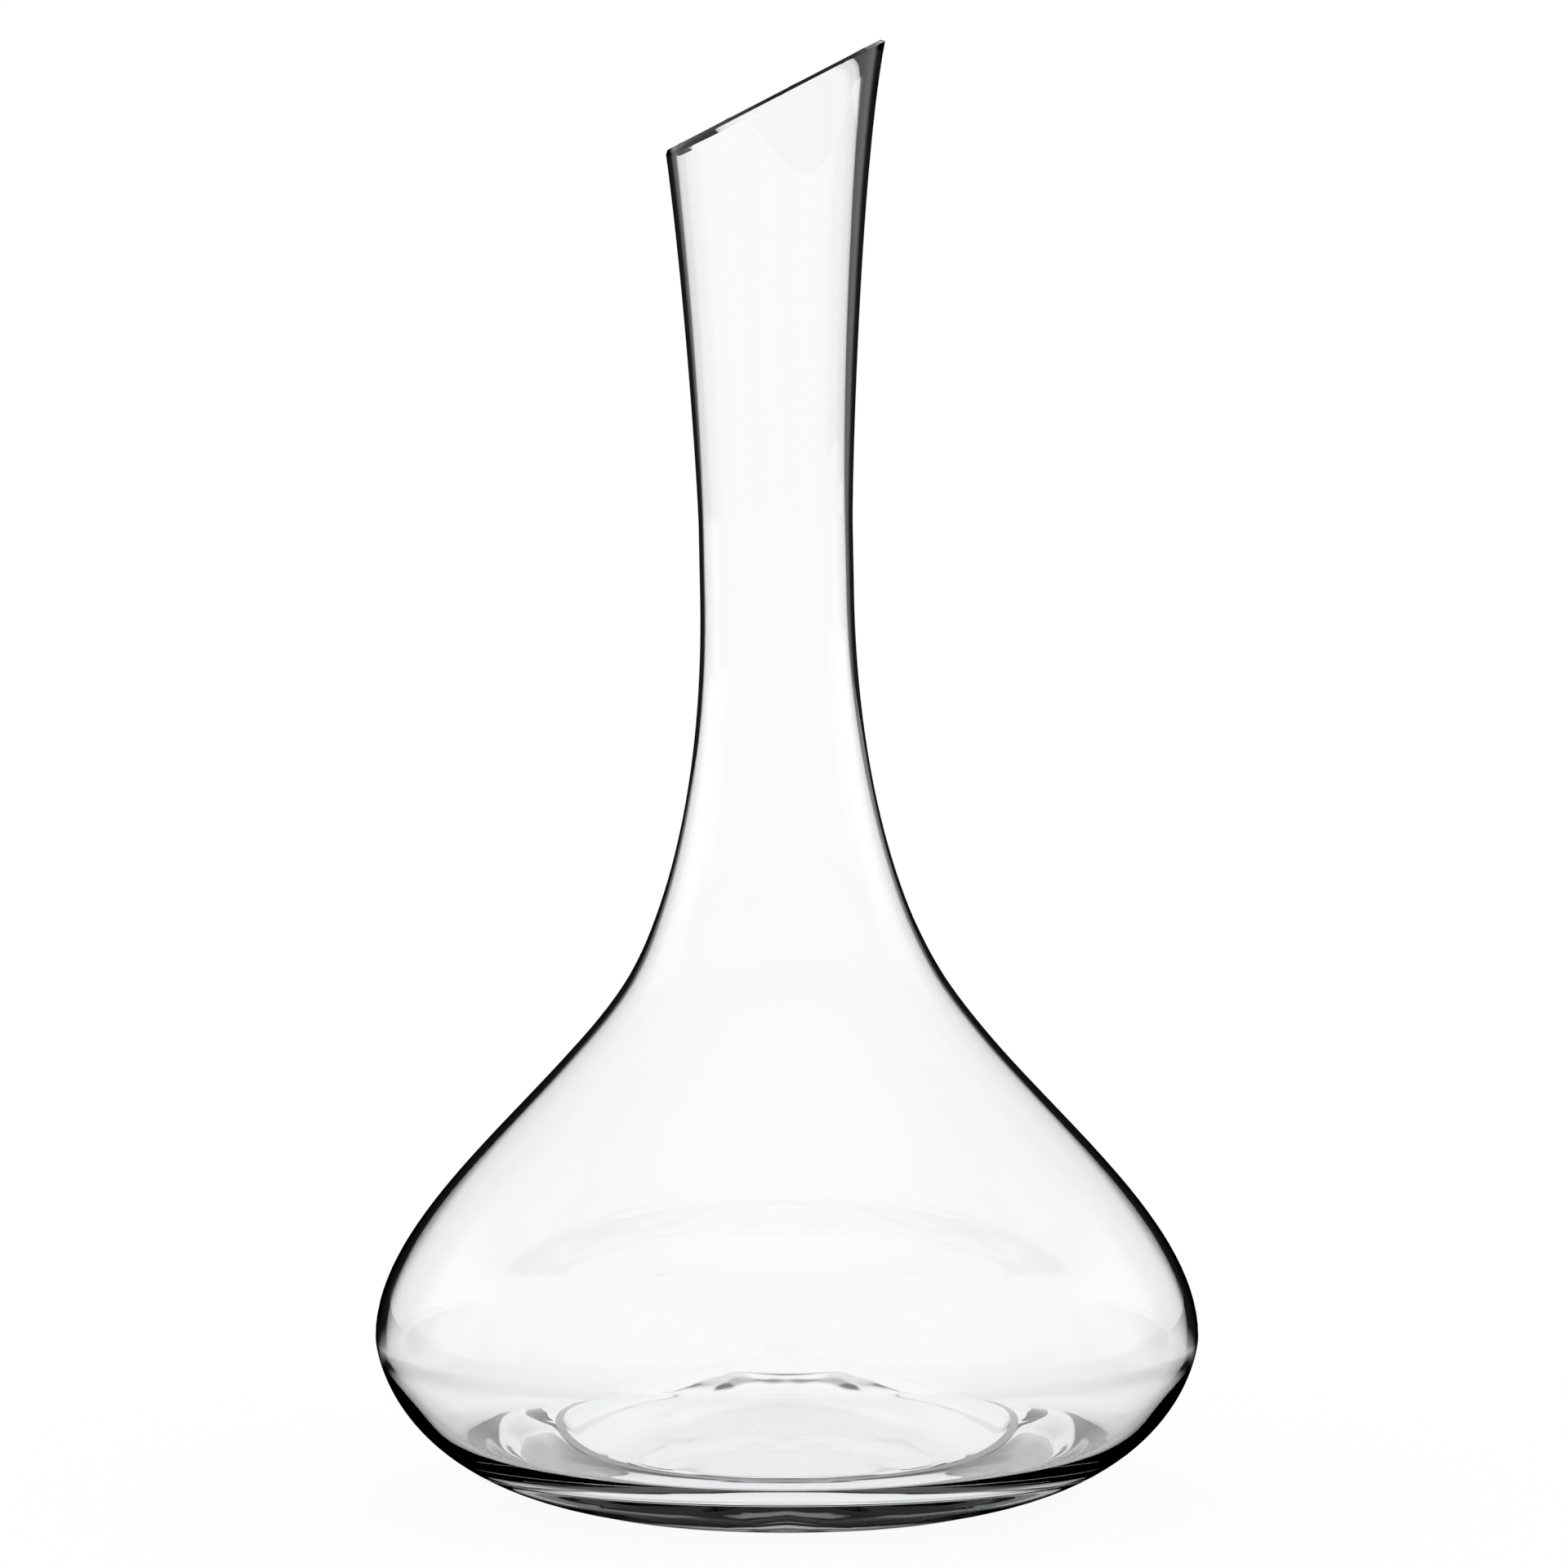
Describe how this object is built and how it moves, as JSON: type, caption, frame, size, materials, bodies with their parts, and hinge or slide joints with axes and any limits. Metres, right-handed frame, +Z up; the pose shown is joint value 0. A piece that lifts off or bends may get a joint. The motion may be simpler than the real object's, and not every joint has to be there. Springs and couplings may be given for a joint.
{
  "type": "wine decanter",
  "caption": "Clear blown-glass wine decanter: broad low bowl on a thick domed base, slim neck and a flared mouth with a slanted pouring lip.",
  "frame": {"origin": "centre of the foot ring, on the table", "axes": "+Z up along the bowl's axis, +X towards the high side of the slanted lip; the neck leans a little to -X"},
  "size_m": [0.19, 0.19, 0.337],
  "materials": {
    "clear_glass": "clear, fire polished"
  },
  "bodies": {
    "root": {"glass_vessel": "clear_glass"}
  },
  "joints": []
}
